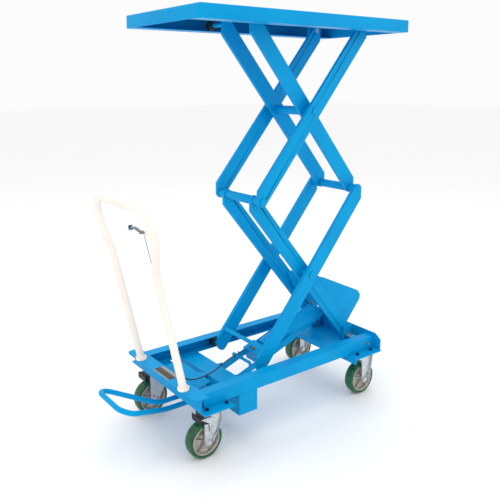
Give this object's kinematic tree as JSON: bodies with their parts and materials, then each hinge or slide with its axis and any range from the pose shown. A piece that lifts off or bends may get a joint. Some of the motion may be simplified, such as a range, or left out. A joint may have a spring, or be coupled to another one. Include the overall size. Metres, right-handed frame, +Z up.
{
  "type": "scissor lift table",
  "caption": "Mobile hydraulic double scissor lift table with a folding linkage, a foot pedal, a push handle with a release lever, and braked swivel casters.",
  "frame": {"origin": "on the floor under the middle of the table's bounding box", "axes": "+Z up, +X along the length away from the push handle, +Y to the left of someone who pushes along +X"},
  "size_m": [1.2504, 0.544, 1.57],
  "materials": {
    "blue_paint": "gloss",
    "cream_paint": "gloss",
    "zinc_steel": "satin",
    "black_steel": "satin",
    "brass": "satin",
    "chrome_rod": "polished",
    "black_roller": "matte",
    "black_cable": "matte",
    "label_grey": "satin",
    "green_tread": "satin",
    "cast_core": "cast"
  },
  "bodies": {
    "base_frame": {"side_channels": "blue_paint", "handle_angle": "blue_paint", "front_caster_plate": "blue_paint", "rear_caster_plate": "blue_paint", "rear_end_plate": "blue_paint", "anchor_beam": "blue_paint", "beam_ears": "blue_paint", "rear_pivot_ears": "blue_paint", "pivot_pins": "zinc_steel", "grease_fittings": "brass", "pump_barrel": "blue_paint", "handle_tube": "cream_paint", "post_collars": "cream_paint", "handle_tabs": "cream_paint", "rating_plate": "label_grey", "release_cable": "black_cable", "swivel_plates": "zinc_steel", "rear_forks": "zinc_steel", "caster_bolts": "black_steel"},
    "power_unit": {"swing_bars": "blue_paint", "swing_bolts": "black_steel", "pump_block": "blue_paint", "cylinder_tube": "blue_paint", "cylinder_cap": "blue_paint", "cable_crossbar": "blue_paint", "brass_fittings": "brass"},
    "lift_ram": {"lift_rod": "chrome_rod", "rod_pin": "zinc_steel"},
    "pedal": {"foot_pedal": "blue_paint"},
    "plunger": {"pump_plunger": "chrome_rod"},
    "lever": {"release_lever": "zinc_steel"},
    "lower_inner": {"lower_inner_arms": "blue_paint", "middle_front_tube": "blue_paint", "lower_centre_pins": "blue_paint", "gusset_plates": "blue_paint"},
    "lower_outer": {"lower_outer_arms": "blue_paint", "middle_rear_tube": "blue_paint", "lower_tie_bar": "blue_paint"},
    "upper_outer": {"upper_outer_arms": "blue_paint"},
    "upper_inner": {"upper_inner_arms": "blue_paint", "upper_centre_tube": "blue_paint"},
    "platform": {"deck": "blue_paint", "platform_rails": "blue_paint", "end_skirts": "blue_paint", "top_pivot_brackets": "blue_paint", "top_pivot_pins": "zinc_steel"},
    "base_roller_pair": {"base_rollers": "black_roller"},
    "top_roller_pair": {"top_rollers": "black_roller"},
    "front_fork_left": {"front_fork_left": "zinc_steel"},
    "brake_left": {"brake_lever_left": "zinc_steel"},
    "front_wheel_left": {"front_tread_left": "green_tread", "front_core_left": "cast_core"},
    "rear_wheel_left": {"rear_tread_left": "green_tread", "rear_core_left": "cast_core"},
    "front_fork_right": {"front_fork_right": "zinc_steel"},
    "brake_right": {"brake_lever_right": "zinc_steel"},
    "front_wheel_right": {"front_tread_right": "green_tread", "front_core_right": "cast_core"},
    "rear_wheel_right": {"rear_tread_right": "green_tread", "rear_core_right": "cast_core"}
  },
  "joints": [
    {"name": "lift_fold", "type": "hinge", "parent": "base_frame", "child": "lower_inner", "pos_m": [0.47825, 0, 0.229], "axis": [0, -1, 0], "range_deg": [0, 44.6]},
    {"name": "lower_cross", "type": "hinge", "parent": "lower_inner", "child": "lower_outer", "pos_m": [0.22249, 0, 0.55836], "axis": [0, -1, 0], "range_deg": [-89.3, 0]},
    {"name": "front_knee", "type": "hinge", "parent": "lower_inner", "child": "upper_outer", "pos_m": [-0.03326, 0, 0.88772], "axis": [0, -1, 0], "range_deg": [-89.3, 0]},
    {"name": "upper_cross", "type": "hinge", "parent": "upper_outer", "child": "upper_inner", "pos_m": [0.22249, 0, 1.21708], "axis": [0, -1, 0], "range_deg": [0, 89.3]},
    {"name": "platform_pivot", "type": "hinge", "parent": "upper_outer", "child": "platform", "pos_m": [0.47825, 0, 1.54644], "axis": [0, -1, 0], "range_deg": [0, 44.7]},
    {"name": "base_roller_spin", "type": "hinge", "parent": "lower_outer", "child": "base_roller_pair", "pos_m": [-0.03326, 0, 0.229], "axis": [0, 1, 0], "continuous": true},
    {"name": "top_roller_spin", "type": "hinge", "parent": "upper_inner", "child": "top_roller_pair", "pos_m": [-0.03326, 0, 1.54644], "axis": [0, 1, 0], "continuous": true},
    {"name": "cylinder_swing", "type": "hinge", "parent": "base_frame", "child": "power_unit", "pos_m": [-0.09575, 0, 0.167], "axis": [0, -1, 0], "range_deg": [0, 5.32], "deforming": ["release_cable"]},
    {"name": "ram_slide", "type": "slide", "parent": "power_unit", "child": "lift_ram", "axis": [0.9457, 0, 0.325], "range_m": [-0.1196, 0]},
    {"name": "pedal_hinge", "type": "hinge", "parent": "base_frame", "child": "pedal", "pos_m": [-0.24575, 0, 0.128], "axis": [0, -1, 0], "range_deg": [0, 18], "stiffness_Nm_per_rad": 8, "springref_deg": -45.84},
    {"name": "plunger_slide", "type": "slide", "parent": "base_frame", "child": "plunger", "axis": [0, 0, 1], "range_m": [0, 0.0064]},
    {"name": "release_hinge", "type": "hinge", "parent": "base_frame", "child": "lever", "pos_m": [-0.54175, -0.15, 0.849], "axis": [1, 0, 0], "range_deg": [0, 20], "stiffness_Nm_per_rad": 0.3, "springref_deg": -28.65},
    {"name": "swivel_left", "type": "hinge", "parent": "base_frame", "child": "front_fork_left", "pos_m": [-0.31775, 0.196, 0.19], "axis": [0, 0, 1], "continuous": true},
    {"name": "front_wheel_spin_left", "type": "hinge", "parent": "front_fork_left", "child": "front_wheel_left", "pos_m": [-0.34575, 0.196, 0.07], "axis": [0, 1, 0], "continuous": true},
    {"name": "brake_hinge_left", "type": "hinge", "parent": "front_fork_left", "child": "brake_left", "pos_m": [-0.33175, 0.196, 0.128], "axis": [0, -1, 0], "range_deg": [0, 12]},
    {"name": "rear_wheel_spin_left", "type": "hinge", "parent": "base_frame", "child": "rear_wheel_left", "pos_m": [0.46225, 0.196, 0.07], "axis": [0, 1, 0], "continuous": true},
    {"name": "swivel_right", "type": "hinge", "parent": "base_frame", "child": "front_fork_right", "pos_m": [-0.31775, -0.196, 0.19], "axis": [0, 0, 1], "continuous": true},
    {"name": "front_wheel_spin_right", "type": "hinge", "parent": "front_fork_right", "child": "front_wheel_right", "pos_m": [-0.34575, -0.196, 0.07], "axis": [0, 1, 0], "continuous": true},
    {"name": "brake_hinge_right", "type": "hinge", "parent": "front_fork_right", "child": "brake_right", "pos_m": [-0.33175, -0.196, 0.128], "axis": [0, -1, 0], "range_deg": [0, 12]},
    {"name": "rear_wheel_spin_right", "type": "hinge", "parent": "base_frame", "child": "rear_wheel_right", "pos_m": [0.46225, -0.196, 0.07], "axis": [0, 1, 0], "continuous": true}
  ],
  "couplings": [
    {"joint": "lower_cross", "follows": "lift_fold", "ratio": -2},
    {"joint": "front_knee", "follows": "lift_fold", "ratio": -2},
    {"joint": "upper_cross", "follows": "lift_fold", "ratio": 2},
    {"joint": "platform_pivot", "follows": "lift_fold", "ratio": 1},
    {"joint": "cylinder_swing", "follows": "lift_fold", "ratio": 0.119},
    {"joint": "ram_slide", "follows": "lift_fold", "m_per_rad": -0.153},
    {"joint": "plunger_slide", "follows": "pedal_hinge", "m_per_rad": 0.0203}
  ]
}
